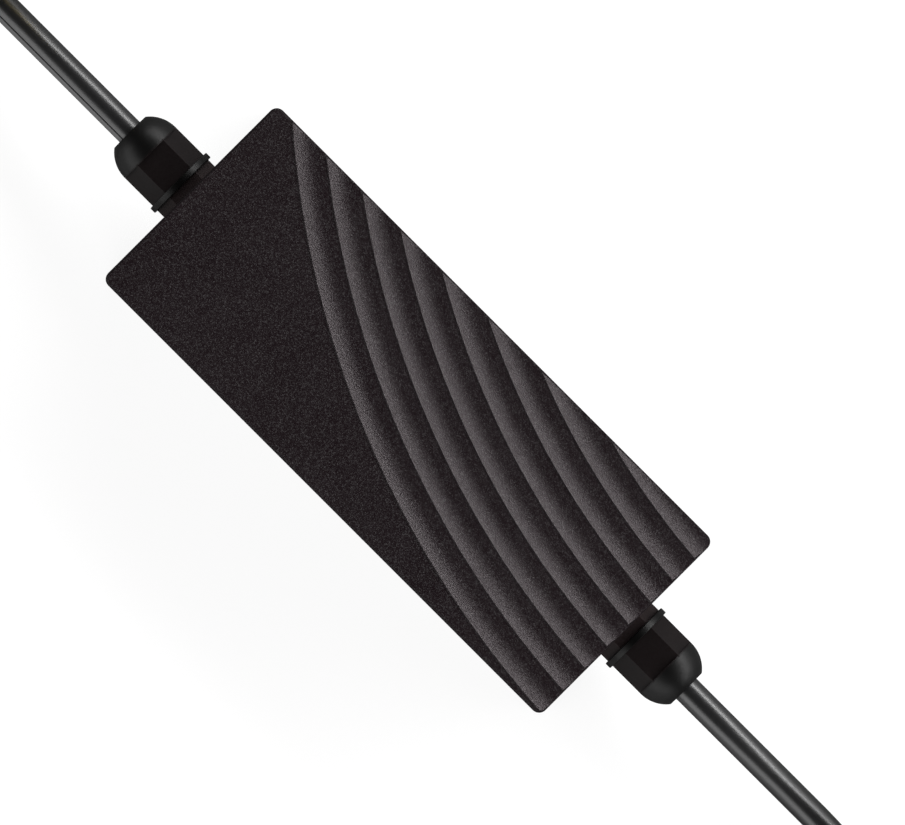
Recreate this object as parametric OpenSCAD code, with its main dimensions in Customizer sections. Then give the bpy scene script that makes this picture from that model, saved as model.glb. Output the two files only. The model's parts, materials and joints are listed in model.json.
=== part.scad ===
// In-line power adapter: a two-part sealed housing with a wave relief, a cable gland at each end,
// a flyback converter on one board inside, and a lead at each end. Millimetres, +Z up, +X towards
// the output. The origin is the middle of the base's underside.

/* [Housing] */
// Length along X
housing_l = 150; // [148:1:170]
// Width along Y
housing_w = 60; // [59:1:76]
// Height from the underside to the flat top
housing_h = 36; // [36:1:46]
// Radius of the four upright corners
corner_r = 2.2; // [1.2:0.1:3.2]
// Thickness of the cover's walls and top
wall_t = 2.5; // [2.2:0.1:2.8]
// Thickness of the base plate
base_t = 3.2; // [3:0.1:3.6]
// Chamfer round the top edge
top_chamfer = 0.5; // [0.2:0.1:0.9]
// Chamfer on each side of the seam and under the base
seam_chamfer = 0.35; // [0.2:0.05:0.5]

/* [Wave relief] */
// Number of curved bands
wave_count = 8; // [3:1:9]
// Radius of the outermost band
wave_r = 240.4; // [235:0.1:245]
// Distance from one band's crest to the next
wave_pitch = 7.52; // [6:0.1:8]
// Height of a crest over the flat top
wave_h = 0.3; // [0.2:0.1:1.2]
// Width of a band's slope, from its crest down to the flat
wave_slope_w = 4.8; // [3:0.1:5.6]
// Bands' centre, from the housing's middle along X
wave_centre_x = 88.4; // [80:1:96]
// Bands' centre, from the housing's middle along Y
wave_centre_y = 211.1; // [206:1:216]

/* [Cable glands] */
// Height of the glands' axis over the underside
gland_z = 18; // [17:0.5:19]
// Width of the nut and the base hexagon across corners
nut_corners = 17.5; // [17.2:0.1:18.4]
// Length of the base hexagon
gland_base_l = 2.5; // [2:0.1:3.5]
// Radius of the sealing ring
ring_r = 9.6; // [9.2:0.1:10.5]
// Thickness of the sealing ring
ring_t = 1.6; // [1.2:0.1:2.4]
// Length of the nut's six flats
nut_flats_l = 9.7; // [8.5:0.1:12]
// Length of the nut's dome
dome_l = 6.9; // [6:0.1:7.2]
// Radius of the threaded neck through the wall
neck_r = 6; // [5.8:0.1:6.3]
// Thickness of the lock nut inside the wall
lock_nut_t = 4; // [3:0.1:4.5]

/* [Circuit board] */
// Space between each end of the board and the end wall
board_end_gap = 11.5; // [11:0.5:12]
// Space between each side of the board and the side wall
board_side_gap = 2.5; // [2:0.1:3]
// Thickness of the board
board_t = 1.6; // [1:0.1:2]
// Height of the posts that carry the board
post_h = 3.6; // [3:0.1:4]

/* [Leads] */
// Diameter of both leads
lead_d = 7; // [6.6:0.1:7.1]
// Width of the tie that holds each hank
tie_w = 12; // [8:1:16]
// Thickness of the tie
tie_t = 0.8; // [0.6:0.1:1.2]

/* [Plug and connector] */
// Width of the plug's body
plug_w = 25; // [23:0.5:26]
// Height of the plug's body
plug_h = 22; // [20:0.5:24]
// Length of the plug's body
plug_l = 30; // [26:1:34]
// Length of the plug's blades
blade_l = 16; // [14:0.5:18]
// Outer radius of the connector's coupling nut
coupling_r = 9; // [8.8:0.1:10]
// Length of the connector's coupling nut
coupling_l = 16; // [13:0.5:18]

/* [Hidden] */
$fn = 48;

// Clearances between pieces that fit each other
fit_gap = 0.15;
rest_gap = 0.05;
cut_past = 1;

// Housing, inside
inner_l = housing_l - 2 * wall_t;
inner_w = housing_w - 2 * wall_t;
ceiling_z = housing_h - wall_t;
boss_r = 3.8;
boss_sink = 0.4;
boss_x = inner_l / 2 + boss_sink - boss_r;
boss_y = inner_w / 2 + boss_sink - boss_r;
screw_r = 1.5;
screw_l = 12;
screw_head_r = 2.8;
screw_head_t = 1.7;
screw_recess = 1.9;
screw_slot_w = 0.7;
screw_slot_d = 0.8;
lip_t = 1.4;
lip_h = 2.4;
lip_clear = 2;
groove_w = 1.2;
groove_d = 0.8;
groove_in = (wall_t - groove_w) / 2;

// Wave relief
wave_steps = 8;
wave_root = 1.2;
wave_draft = 0.04;

// Glands, measured outwards from the wall's outer face
neck_l = wall_t + lock_nut_t + 1.4;
passage_r = 4.6;
clamp_r = 6.5;
nut_start = gland_base_l + ring_t;
clamp_l = nut_start + nut_flats_l - 1.2;
seal_pocket_r = 5.3;
seal_start = nut_start + 1.6;
seal_l = clamp_l - seal_start + 0.8;
clamp_slot_w = 1;
clamp_slot_l = 5;
nut_dome_z = nut_start + nut_flats_l;
nut_end = nut_dome_z + dome_l;
nut_mouth_l = 4.4;
nut_mouth_r = lead_d / 2 + 0.4;
lock_nut_corners = 18.4;
dome_brim = 0.3;
lead_in = 4.5;

// Board and what stands on it. A part's place along X is a share of the board's length.
board_l = inner_l - 2 * board_end_gap;
board_w = inner_w - 2 * board_side_gap;
board_z = base_t + post_h;
board_top = board_z + board_t;
post_r = 3;
post_in = 5.5;
post_side = 4;
post_x = board_l / 2 - post_in;
post_y = board_w / 2 - post_side;
board_screw_r = 1.25;
board_screw_l = 5;
board_screw_head_r = 2.3;
board_screw_head_t = 1.4;
terminal_l = 9;
terminal_in = 1;
terminal_x = board_l / 2 - terminal_in - terminal_l / 2;
terminal_h = 10.5;
terminal_pitch = 5;
terminal_hole_r = 1.15;
terminal_hole_l = 5;
terminal_screw_r = 1.7;
terminal_screw_d = 1.5;
wire_r = 0.9;
wire_z = board_top + 4.2;
wire_in = 3;
wire_spread = 1.7;
leg_r = 0.4;
fuse_at = [-0.371 * board_l, -12];
fuse_r = 2.6;
fuse_tube_r = 2.3;
fuse_l = 20;
fuse_cap_l = 4.6;
fuse_axis_z = board_top + 4;
varistor_at = [-0.3795 * board_l, 9.5];
line_capacitor_at = [-0.299 * board_l, -12];
line_capacitor_l = 8.5;
line_capacitor_w = 18;
line_capacitor_h = 14;
line_choke_at = [-0.2705 * board_l, 11];
bridge_at = [-0.2254 * board_l, -10];
bridge_t = 3.6;
bridge_w = 20;
bridge_h = 15;
bridge_notch = 3;
bulk_capacitor_at = [-0.0984 * board_l, 12];
bulk_capacitor_r = 8;
bulk_capacitor_h = 23;
controller_at = [-0.1066 * board_l, -5];
transformer_at = [0.0902 * board_l, -5];
optocoupler_at = [0.0164 * board_l, 13];
safety_capacitor_at = [0.0902 * board_l, 14];
heatsink_side = 7;
heatsink_y = board_w / 2 - heatsink_side;
primary_heatsink_at = [-0.1008 * board_l, -heatsink_y];
secondary_heatsink_at = [0.2213 * board_l, heatsink_y];
heatsink_l = 22;
heatsink_h = 21;
heatsink_plate_t = 2;
heatsink_fin_l = 4;
heatsink_fin_t = 1.2;
heatsink_fins = 5;
package_w = 10;
package_t = 4.6;
package_h = 9;
package_tab_t = 1.3;
package_tab_h = 15.5;
package_hole_r = 1.8;
package_lift = 4;
output_capacitors_at = [[0.2582 * board_l, -17], [0.2582 * board_l, -6], [0.3525 * board_l, -17]];
output_capacitor_r = 5;
output_capacitor_h = 20;
output_choke_at = [0.3443 * board_l, 1];

// Leads, measured out from the end wall, sideways and up. A hank's turns lie in two layers of two.
lead_r = lead_d / 2;
lead_sides = 10;
turn_pitch = 7.2;
lead_rest_z = turn_pitch / 2;
ROUTE = [
  [-lead_in, 0, gland_z], [15, 0, gland_z], [31, 0, gland_z - 0.3], [39, 0, gland_z - 1.7],
  [47, 0, gland_z - 4.2], [55, 0, gland_z - 7.4], [63, 0, gland_z - 10.5], [71, 0, 5.2],
  [79.3, -1, 4], [86.5, -3.6, lead_rest_z], [93.2, -8, lead_rest_z]];
END_ROUTE = [
  [199.3, 1.5, 0], [196.5, 9.6, 0], [191.6, 16.2, 0], [185.5, 21, 0], [178.5, 23.9, 0],
  [171, 25.4, 0.02], [163.5, 25, 0.1], [156, 23.7, 0.36], [148.5, 21.8, 0.69], [141, 20.4, 0.94],
  [137, 20, 1], [135, 20, 1]];
hank_near = 128;
hank_straight = 44;
hank_in_r = 21.6;
hank_layers = 2;
hank_wall = 2 * turn_pitch;
hank_h = hank_layers * turn_pitch;
hank_mid_r = hank_in_r + turn_pitch / 2;
end_x = 135;
end_y = 20;
end_rest_z = hank_h + turn_pitch / 2;

// Plug and connector, measured forwards from where the lead enters
relief_l = 20;
relief_r = 6.4;
relief_tip_r = lead_r + 1;
relief_rings = 6;
relief_groove = 0.7;
plug_neck_r = 7.5;
plug_front_l = 14;
plug_corner_r = 4;
blade_w = 6.3;
blade_t = 1.5;
blade_gap = 12.7;
blade_low = 4;
earth_r = 2.4;
earth_up = 6.4;
connector_r = 8;
connector_grip_l = 14;
connector_neck_r = 7;
connector_mouth_l = 4;
connector_pin_r = 1;
connector_pin_gap = 5;
connector_pin_l = 3.4;
coupling_ribs = 24;
coupling_rib_d = 0.5;

// Shared shapes

function edge_outline(half, h, low, high) = [
  [-half + low, 0], [half - low, 0], [half, low], [half, h - high],
  [half - high, h], [-half + high, h], [-half, h - high], [-half, low]];

// Block with rounded upright corners and a chamfer round its lower and upper edge
module edged_block(l, w, h, r, low, high) {
  rotate([90, 0, 90]) translate([0, 0, r - l / 2])
    linear_extrude(l - 2 * r) polygon(edge_outline(w / 2, h, low, high));
  rotate([90, 0, 0]) translate([0, 0, r - w / 2])
    linear_extrude(w - 2 * r) polygon(edge_outline(l / 2, h, low, high));
  at_corners(l / 2 - r, w / 2 - r) rotate_extrude()
    polygon([[0, 0], [r - low, 0], [r, low], [r, h - high], [r - high, h], [0, h]]);
}

module rounded_block(l, w, h, r) {
  box(l - 2 * r, w, h);
  box(l, w - 2 * r, h);
  at_corners(l / 2 - r, w / 2 - r) cylinder(r = r, h = h);
}

module box(l, w, h) {
  translate([-l / 2, -w / 2, 0]) cube([l, w, h]);
}

module ring(outer_r, inner_r, h) {
  difference() {
    cylinder(r = outer_r, h = h);
    translate([0, 0, -cut_past]) cylinder(r = inner_r, h = h + 2 * cut_past);
  }
}

module hexagon(corners, h) {
  rotate([0, 0, 30]) cylinder(d = corners, h = h, $fn = 6);
}

module at_corners(x, y) {
  for (sx = [-1, 1], sy = [-1, 1]) translate([sx * x, sy * y, 0]) children();
}

// Lays a piece that is drawn upright along a gland's axis, pointing out of the housing
module at_gland(side) {
  translate([side * housing_l / 2, 0, gland_z]) rotate([0, side * 90, 0]) children();
}

// Lays a piece that is drawn upright on a hank, pointing back towards the housing
module at_lead_end(side, z) {
  translate([side * (housing_l / 2 + end_x), end_y, z]) rotate([0, -side * 90, 0]) children();
}

function unit(v) = v / norm(v);

// Frame of a swept tube at point i: the way along, and two directions across
function along(p, i) = unit(p[min(i + 1, len(p) - 1)] - p[max(i - 1, 0)]);
function across(t) = unit(cross([0, 0, 1], t));

// Tube of flat sides along a list of points
module tube(points, r, sides) {
  rings = [for (i = [0 : len(points) - 1]) let (t = along(points, i), s = across(t), u = cross(t, s))
    for (j = [0 : sides - 1]) points[i] + r * (s * cos(360 * j / sides) + u * sin(360 * j / sides))];
  last = (len(points) - 1) * sides;
  polyhedron(rings, concat(
    [[for (j = [0 : sides - 1]) sides - 1 - j]],
    [[for (j = [0 : sides - 1]) last + j]],
    [for (i = [0 : len(points) - 2], j = [0 : sides - 1]) let (a = i * sides, b = a + sides,
      k = (j + 1) % sides) each [[a + j, a + k, b + k], [a + j, b + k, b + j]]]));
}

// Housing

// Outer side of one band in section, from the foot of its slope to its crest and down
function band_outline(r) = concat(
  [for (i = [wave_steps : -1 : 0]) [
    r - wave_draft - wave_slope_w * i / wave_steps,
    wave_root + wave_h * pow(1 - i / wave_steps, 2)]],
  [[r, wave_root]]);

// All bands as one turned ring about their common centre, rooted in the cover's top
module wave_bands() {
  inner_r = wave_r - wave_count * wave_pitch;
  translate([wave_centre_x, wave_centre_y, housing_h - wave_root]) rotate_extrude($fn = 360)
    polygon(concat(
      [[inner_r, 0], [inner_r, wave_root]],
      [for (k = [wave_count - 1 : -1 : 0]) each band_outline(wave_r - k * wave_pitch)],
      [[wave_r, 0]]));
}

module cover_block(rise) {
  translate([0, 0, base_t]) edged_block(
    housing_l, housing_w, housing_h - base_t + rise, corner_r, seam_chamfer, top_chamfer);
}

module top_cover() color("#272324") difference() {
  union() {
    difference() {
      cover_block(0);
      translate([0, 0, base_t - cut_past])
        box(inner_l, inner_w, ceiling_z - base_t + cut_past);
    }
    intersection() {
      wave_bands();
      cover_block(wave_h);
    }
    at_corners(boss_x, boss_y) translate([0, 0, base_t]) cylinder(r = boss_r, h = ceiling_z - base_t);
  }
  at_corners(boss_x, boss_y) translate([0, 0, base_t - cut_past])
    cylinder(r = screw_r + rest_gap, h = screw_recess + screw_l - base_t + 2 * cut_past);
  for (side = [-1, 1]) at_gland(side) translate([0, 0, -wall_t - cut_past])
    cylinder(r = neck_r + fit_gap, h = wall_t + 2 * cut_past);
}

// Ring that runs round under the middle of the cover's walls
module wall_ring(gap, h) {
  inset = groove_in + gap;
  width = groove_w - 2 * gap;
  difference() {
    rounded_block(housing_l - 2 * inset, housing_w - 2 * inset, h, corner_r - groove_in / 2);
    translate([0, 0, -cut_past]) box(
      housing_l - 2 * (inset + width), housing_w - 2 * (inset + width), h + 2 * cut_past);
  }
}

module base_plate() color("#232021") {
  lip_x = boss_x - boss_r - lip_clear;
  lip_y = inner_w / 2 - fit_gap - lip_t;
  difference() {
    union() {
      edged_block(housing_l, housing_w, base_t, corner_r, seam_chamfer, seam_chamfer);
      at_corners(post_x, post_y) cylinder(r = post_r, h = board_z);
      for (sy = [-1, 1]) translate([0, sy * (lip_y + lip_t / 2), 0]) box(2 * lip_x, lip_t, base_t + lip_h);
    }
    translate([0, 0, base_t - groove_d]) wall_ring(0, groove_d + cut_past);
    at_corners(boss_x, boss_y) {
      translate([0, 0, -cut_past]) cylinder(r = screw_r + fit_gap, h = base_t + 2 * cut_past);
      translate([0, 0, -cut_past]) cylinder(r = screw_head_r + fit_gap, h = screw_recess + cut_past);
    }
    at_corners(post_x, post_y) translate([0, 0, board_z - board_screw_l])
      cylinder(r = board_screw_r + rest_gap, h = board_screw_l + cut_past);
  }
}

module cover_gasket() color("#101010") {
  translate([0, 0, base_t - groove_d]) wall_ring(rest_gap, groove_d);
}

module cover_screws() color("#8c8c8f") at_corners(boss_x, boss_y) difference() {
  union() {
    translate([0, 0, screw_recess - screw_head_t]) cylinder(r = screw_head_r, h = screw_head_t);
    translate([0, 0, screw_recess]) cylinder(r = screw_r, h = screw_l);
  }
  for (turn = [0, 90]) rotate([0, 0, turn]) translate([0, 0, screw_recess - screw_head_t - cut_past])
    box(screw_head_r * 1.3, screw_slot_w, screw_slot_d + cut_past);
}

// Glands

module gland_body() color("#1f1d1e") difference() {
  union() {
    hexagon(nut_corners, gland_base_l);
    translate([0, 0, -neck_l]) cylinder(r = neck_r, h = neck_l);
    cylinder(r = clamp_r, h = clamp_l);
  }
  translate([0, 0, -neck_l - cut_past]) cylinder(r = passage_r, h = neck_l + clamp_l + 2 * cut_past);
  translate([0, 0, seal_start]) cylinder(r = seal_pocket_r, h = clamp_l);
  for (turn = [0, 60, 120]) rotate([0, 0, turn]) translate([0, 0, clamp_l - clamp_slot_l])
    box(clamp_slot_w, 3 * clamp_r, clamp_slot_l + cut_past);
}

module gland_ring() color("#121112") {
  translate([0, 0, gland_base_l]) ring(ring_r, clamp_r + fit_gap, ring_t);
}

module gland_seal() color("#4a4a4c") {
  translate([0, 0, seal_start]) ring(seal_pocket_r - rest_gap, lead_r + rest_gap, seal_l);
}

module dome_nut() color("#1a1819") difference() {
  union() {
    translate([0, 0, nut_start]) hexagon(nut_corners, nut_flats_l);
    translate([0, 0, nut_dome_z]) intersection() {
      sphere(d = nut_corners, $fn = 96);
      translate([0, 0, -dome_brim]) cylinder(d = nut_corners + 2, h = dome_brim + dome_l);
    }
  }
  translate([0, 0, nut_start - cut_past])
    cylinder(r = clamp_r + fit_gap, h = clamp_l - nut_start + 2 * cut_past);
  translate([0, 0, clamp_l + cut_past]) cylinder(
    r1 = clamp_r + fit_gap, r2 = nut_mouth_r, h = nut_end - nut_mouth_l - clamp_l - cut_past);
  translate([0, 0, clamp_l]) cylinder(r = nut_mouth_r, h = nut_end - clamp_l + cut_past);
}

module lock_nut() color("#1f1d1e") translate([0, 0, -wall_t - lock_nut_t]) difference() {
  hexagon(lock_nut_corners, lock_nut_t);
  translate([0, 0, -cut_past]) cylinder(r = neck_r + rest_gap, h = lock_nut_t + 2 * cut_past);
}

module input_gland_body() at_gland(-1) gland_body();
module input_gland_ring() at_gland(-1) gland_ring();
module input_gland_seal() at_gland(-1) gland_seal();
module input_dome_nut() at_gland(-1) dome_nut();
module input_lock_nut() at_gland(-1) lock_nut();
module output_gland_body() at_gland(1) gland_body();
module output_gland_ring() at_gland(1) gland_ring();
module output_gland_seal() at_gland(1) gland_seal();
module output_dome_nut() at_gland(1) dome_nut();
module output_lock_nut() at_gland(1) lock_nut();

// Circuit board and its parts

module on_board(at) {
  translate([at[0], at[1], board_top]) children();
}

module legs(points, h) {
  for (p = points) translate([p[0], p[1], 0]) cylinder(r = leg_r, h = h, $fn = 16);
}

module circuit_board() color("#1f5a33") translate([0, 0, board_z]) difference() {
  box(board_l, board_w, board_t);
  at_corners(post_x, post_y) translate([0, 0, -cut_past])
    cylinder(r = board_screw_r + fit_gap, h = board_t + 2 * cut_past);
}

module board_screws() color("#9a9a9c") at_corners(post_x, post_y) {
  translate([0, 0, board_top]) cylinder(r = board_screw_head_r, h = board_screw_head_t);
  translate([0, 0, board_z - board_screw_l + cut_past])
    cylinder(r = board_screw_r, h = board_screw_l - cut_past + board_t);
}

// Screw terminal whose wire holes face the nearer end wall
module terminal(side, ways) {
  w = ways * terminal_pitch + 1;
  translate([side * terminal_x, 0, board_top]) difference() {
    box(terminal_l, w, terminal_h);
    for (i = [0 : ways - 1]) translate([0, (i - (ways - 1) / 2) * terminal_pitch, 0]) {
      translate([side * (terminal_l / 2 - terminal_hole_l), 0, wire_z - board_top])
        rotate([0, side * 90, 0]) cylinder(r = terminal_hole_r, h = terminal_hole_l + cut_past);
      translate([0, 0, terminal_h - terminal_screw_d])
        cylinder(r = terminal_screw_r, h = terminal_screw_d + cut_past);
    }
  }
}

module input_terminal() color("#2f7d4a") terminal(-1, 3);
module output_terminal() color("#2f7d4a") terminal(1, 2);

// One insulated wire from the lead's cut end down into a terminal's hole
module wire(side, turn, way_y) {
  x0 = housing_l / 2 - lead_in;
  x1 = terminal_x + terminal_l / 2;
  y0 = wire_spread * cos(turn);
  z0 = gland_z + wire_spread * sin(turn);
  tube([
    [side * x0, y0, z0], [side * (x0 - 3), y0, z0],
    [side * (x0 + x1 - 1) / 2, (y0 + way_y) / 2, (z0 + wire_z) / 2],
    [side * (x1 + 1.5), way_y, wire_z], [side * (x1 - wire_in), way_y, wire_z]], wire_r, 8);
}

module input_wires() color("#7a4a2c")
  for (i = [0 : 2]) wire(-1, [210, 90, 330][i], (1 - i) * -terminal_pitch);

module output_wires() color("#a02a2a")
  for (i = [0 : 1]) wire(1, [180, 0][i], (i - 0.5) * terminal_pitch);

module fuse_clips() color("#b9b9bc")
  for (end = [-1, 1]) translate([fuse_at[0], fuse_at[1] + end * (fuse_l - fuse_cap_l) / 2, 0])
    difference() {
      translate([0, 0, board_top]) box(2 * fuse_r + 1.2, fuse_cap_l - 1, fuse_axis_z - board_top + 1);
      translate([0, 0, fuse_axis_z]) rotate([90, 0, 0])
        cylinder(r = fuse_r + rest_gap, h = fuse_cap_l, center = true);
    }

module fuse() color("#d8d4c8") translate([fuse_at[0], fuse_at[1], fuse_axis_z]) rotate([90, 0, 0]) {
  cylinder(r = fuse_tube_r, h = fuse_l - 2, center = true);
  for (end = [-1, 1]) translate([0, 0, end * (fuse_l - fuse_cap_l) / 2])
    cylinder(r = fuse_r, h = fuse_cap_l, center = true);
}

// Coated disc on two legs, standing across Y
module disc_part(r, t, lift) {
  legs([[-r / 2, 0], [r / 2, 0]], lift + r / 2);
  translate([0, t / 2, lift + r]) rotate([90, 0, 0]) rotate_extrude()
    polygon([[0, 0], [r - t / 4, 0], [r, t / 4], [r, 3 * t / 4], [r - t / 4, t], [0, t]]);
}

module varistor() color("#2a55a0") on_board(varistor_at) rotate([0, 0, 90]) disc_part(5, 3.6, 1.5);
module safety_capacitor() color("#2f6fb5") on_board(safety_capacitor_at) disc_part(4.5, 3.4, 1.5);

module line_capacitor() color("#d9b23a") on_board(line_capacitor_at)
  edged_block(line_capacitor_l, line_capacitor_w, line_capacitor_h, 1, 0.3, 0.6);

choke_r = 7;
choke_core_w = 4;
choke_core_h = 6;
choke_wind_t = 1.1;

module line_choke_core() color("#3b3b3d") on_board(line_choke_at)
  translate([0, 0, choke_wind_t + rest_gap])
    ring(choke_r + choke_core_w / 2, choke_r - choke_core_w / 2, choke_core_h);

module line_choke_windings() color("#b5622c") on_board(line_choke_at) for (turn = [25, 205])
  rotate([0, 0, turn]) rotate_extrude(angle = 130) translate([choke_r, choke_wind_t + rest_gap])
    difference() {
      translate([-choke_core_w / 2 - choke_wind_t - rest_gap, -choke_wind_t - rest_gap])
        square([choke_core_w + 2 * (choke_wind_t + rest_gap),
          choke_core_h + 2 * (choke_wind_t + rest_gap)]);
      translate([-choke_core_w / 2 - rest_gap, -rest_gap])
        square([choke_core_w + 2 * rest_gap, choke_core_h + 2 * rest_gap]);
    }

module bridge_rectifier() color("#1c1c1e") on_board(bridge_at) {
  legs([for (i = [-1.5 : 1 : 1.5]) [0, i * bridge_w / 4]], 3);
  translate([0, 0, 2.5]) rotate([90, 0, 90]) linear_extrude(bridge_t, center = true) polygon([
    [-bridge_w / 2, 0], [bridge_w / 2, 0], [bridge_w / 2, bridge_h],
    [bridge_notch - bridge_w / 2, bridge_h], [-bridge_w / 2, bridge_h - bridge_notch]]);
}

// Upright can with a crimp groove near its foot and a rolled top edge
module can(r, h) rotate_extrude()
  polygon([[0, 0], [r, 0], [r, 2], [r - 0.5, 2.6], [r, 3.2], [r, h - 0.6], [r - 0.6, h],
    [r - 1.4, h], [r - 1.6, h - 0.4], [0, h - 0.4]]);

module bulk_capacitor() color("#20242c") on_board(bulk_capacitor_at)
  can(bulk_capacitor_r, bulk_capacitor_h);

module output_capacitors() color("#20242c")
  for (at = output_capacitors_at) on_board(at) can(output_capacitor_r, output_capacitor_h);

transformer_l = 25;
transformer_post = 6.5;
transformer_core_t = 7;
transformer_core_h = 20;
transformer_window_w = 6;
transformer_window_h = 12.6;
transformer_foot = 3;
transformer_winding_w = 18;

module transformer_core() color("#303033") on_board(transformer_at)
  translate([0, 0, transformer_foot + rest_gap]) difference() {
    box(transformer_l, transformer_core_t, transformer_core_h);
    for (side = [-1, 1])
      translate([side * (transformer_post + transformer_window_w) / 2, 0,
        (transformer_core_h - transformer_window_h) / 2])
        box(transformer_window_w, transformer_core_t + 2 * cut_past, transformer_window_h);
  }

module transformer_winding() color("#d8b52a") on_board(transformer_at) {
  window_z = transformer_foot + rest_gap + (transformer_core_h - transformer_window_h) / 2 + rest_gap;
  winding_l = transformer_post + 2 * transformer_window_w - 2 * rest_gap;
  box(transformer_l - 1, transformer_winding_w + 2, transformer_foot);
  difference() {
    union() {
      translate([0, 0, window_z])
        rounded_block(winding_l, transformer_winding_w, transformer_window_h - 2 * rest_gap, 2);
      for (side = [-1, 1]) translate([0, side * (transformer_winding_w - 4) / 2, 0])
        box(winding_l - 4, 4, window_z + 1);
    }
    box(transformer_post + 2 * rest_gap, transformer_core_t + 2 * rest_gap,
      transformer_foot + transformer_core_h);
  }
}

// Transistor case with its tab, standing on three legs with its back at y = 0
module power_package() {
  legs([for (i = [-1 : 1]) [i * 2.54, 2.6]], package_lift + 1);
  translate([0, package_t / 2, package_lift]) box(package_w, package_t, package_h);
  translate([0, package_tab_t / 2, package_lift]) difference() {
    box(package_w, package_tab_t, package_tab_h);
    translate([0, 0, (package_h + package_tab_h) / 2]) rotate([90, 0, 0])
      cylinder(r = package_hole_r, h = package_t, center = true);
  }
}

module switching_transistor() color("#1b1b1d")
  on_board(primary_heatsink_at + [0, rest_gap]) power_package();
module output_diode() color("#1b1b1d")
  on_board(secondary_heatsink_at - [0, rest_gap]) rotate([0, 0, 180]) power_package();

// Finned plate with its flat face at y = 0 and its fins behind it
module heatsink() {
  step = (heatsink_l - heatsink_fin_t) / (heatsink_fins - 1);
  translate([0, -heatsink_plate_t / 2, 0]) box(heatsink_l, heatsink_plate_t, heatsink_h);
  for (i = [0 : heatsink_fins - 1])
    translate([-heatsink_l / 2, -heatsink_plate_t - heatsink_fin_l, 0] + [i * step, 0, 0])
      cube([heatsink_fin_t, heatsink_fin_l + heatsink_plate_t, heatsink_h]);
}

module primary_heatsink() color("#a9abae") on_board(primary_heatsink_at) heatsink();
module secondary_heatsink() color("#a9abae")
  on_board(secondary_heatsink_at) rotate([0, 0, 180]) heatsink();

// Dual in-line chip with its rows of pins along X
module chip(l, pins) {
  translate([0, 0, 0.6]) box(l, 6.4, 3.2);
  for (i = [0 : pins - 1], side = [-1, 1])
    translate([(i - (pins - 1) / 2) * 2.54, side * 3.5, 0]) box(1, 0.6, 2.4);
}

module controller_chip() color("#18181a") on_board(controller_at) chip(9.5, 4);
module optocoupler() color("#e6e4df") on_board(optocoupler_at) chip(4.7, 2);

module output_choke() color("#3a3a3c") on_board(output_choke_at) rotate_extrude()
  polygon([[0, 0], [6, 0], [6, 2], [4.6, 2], [4.6, 10], [6, 10], [6, 12], [0, 12]]);

// Leads

function out_of(side, points) =
  [for (p = points) [side * (housing_l / 2 + p[0]), p[1], p[2]]];

function rise(points, z) = [for (p = points) [p[0], p[1], end_rest_z + p[2] * (z - end_rest_z)]];

// Flat ring with round ends in the outline of a wound hank
module hank_outline(r) {
  translate([hank_near, 0]) circle(r = r);
  translate([hank_near + hank_straight, 0]) circle(r = r);
  translate([hank_near, -r]) square([hank_straight, 2 * r]);
}

module tie_shape(grow) translate([hank_near + hank_straight / 2, -hank_mid_r, 0])
  box(tie_w + 2 * grow, hank_wall + 2 * (tie_t + grow), hank_h + tie_t + grow);

module lead_hank(side) color("#2b2a2b") translate([side * housing_l / 2, 0, 0])
  scale_x(side) difference() {
    linear_extrude(hank_h) difference() {
      hank_outline(hank_mid_r + turn_pitch);
      hank_outline(hank_mid_r - turn_pitch);
    }
    difference() {
      tie_shape(rest_gap);
      tie_core(-rest_gap);
    }
  }

module scale_x(side) {
  if (side < 0) mirror([1, 0, 0]) children();
  else children();
}

// The hank's bundle where the tie goes round it
module tie_core(grow) translate([hank_near + hank_straight / 2, -hank_mid_r, tie_t - grow])
  box(tie_w + 2 * cut_past, hank_wall + 2 * grow, hank_h - tie_t + 2 * grow);

module lead_tie(side) color("#3a3a3c") translate([side * housing_l / 2, 0, 0])
  scale_x(side) difference() {
    tie_shape(0);
    tie_core(0);
  }

plug_z = hank_h + rest_gap + plug_h / 2;
connector_z = hank_h + rest_gap + coupling_r;

module input_lead_run() color("#2b2a2b") tube(out_of(-1, ROUTE), lead_r, lead_sides);
module input_lead_hank() lead_hank(-1);
module input_lead_end() color("#2b2a2b") tube(out_of(-1, rise(END_ROUTE, plug_z)), lead_r, lead_sides);
module input_tie() lead_tie(-1);
module output_lead_run() color("#2b2a2b") tube(out_of(1, ROUTE), lead_r, lead_sides);
module output_lead_hank() lead_hank(1);
module output_lead_end() color("#2b2a2b")
  tube(out_of(1, rise(END_ROUTE, connector_z)), lead_r, lead_sides);
module output_tie() lead_tie(1);

// Plug and connector

// Ribbed strain relief that widens towards the body
module strain_relief() rotate_extrude() polygon(concat(
  [[0, 0], [relief_tip_r, 0]],
  [for (i = [0 : relief_rings - 1]) let (
      step = relief_l / relief_rings, z = i * step,
      r = relief_tip_r + (relief_r - relief_tip_r) * i / (relief_rings - 1))
    each [[r, z + 0.25 * step], [r, z + 0.6 * step], [r - relief_groove, z + 0.65 * step],
      [r - relief_groove, z + 0.95 * step]]],
  [[relief_r, relief_l], [0, relief_l]]));

module mains_plug() color("#232223") at_lead_end(-1, plug_z) {
  strain_relief();
  translate([0, 0, relief_l]) hull() {
    cylinder(r = plug_neck_r, h = 1, $fn = 32);
    translate([0, 0, plug_l - plug_front_l]) at_corners(
      plug_h / 2 - plug_corner_r, plug_w / 2 - plug_corner_r)
      cylinder(r = plug_corner_r, h = plug_front_l, $fn = 32);
  }
}

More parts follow.
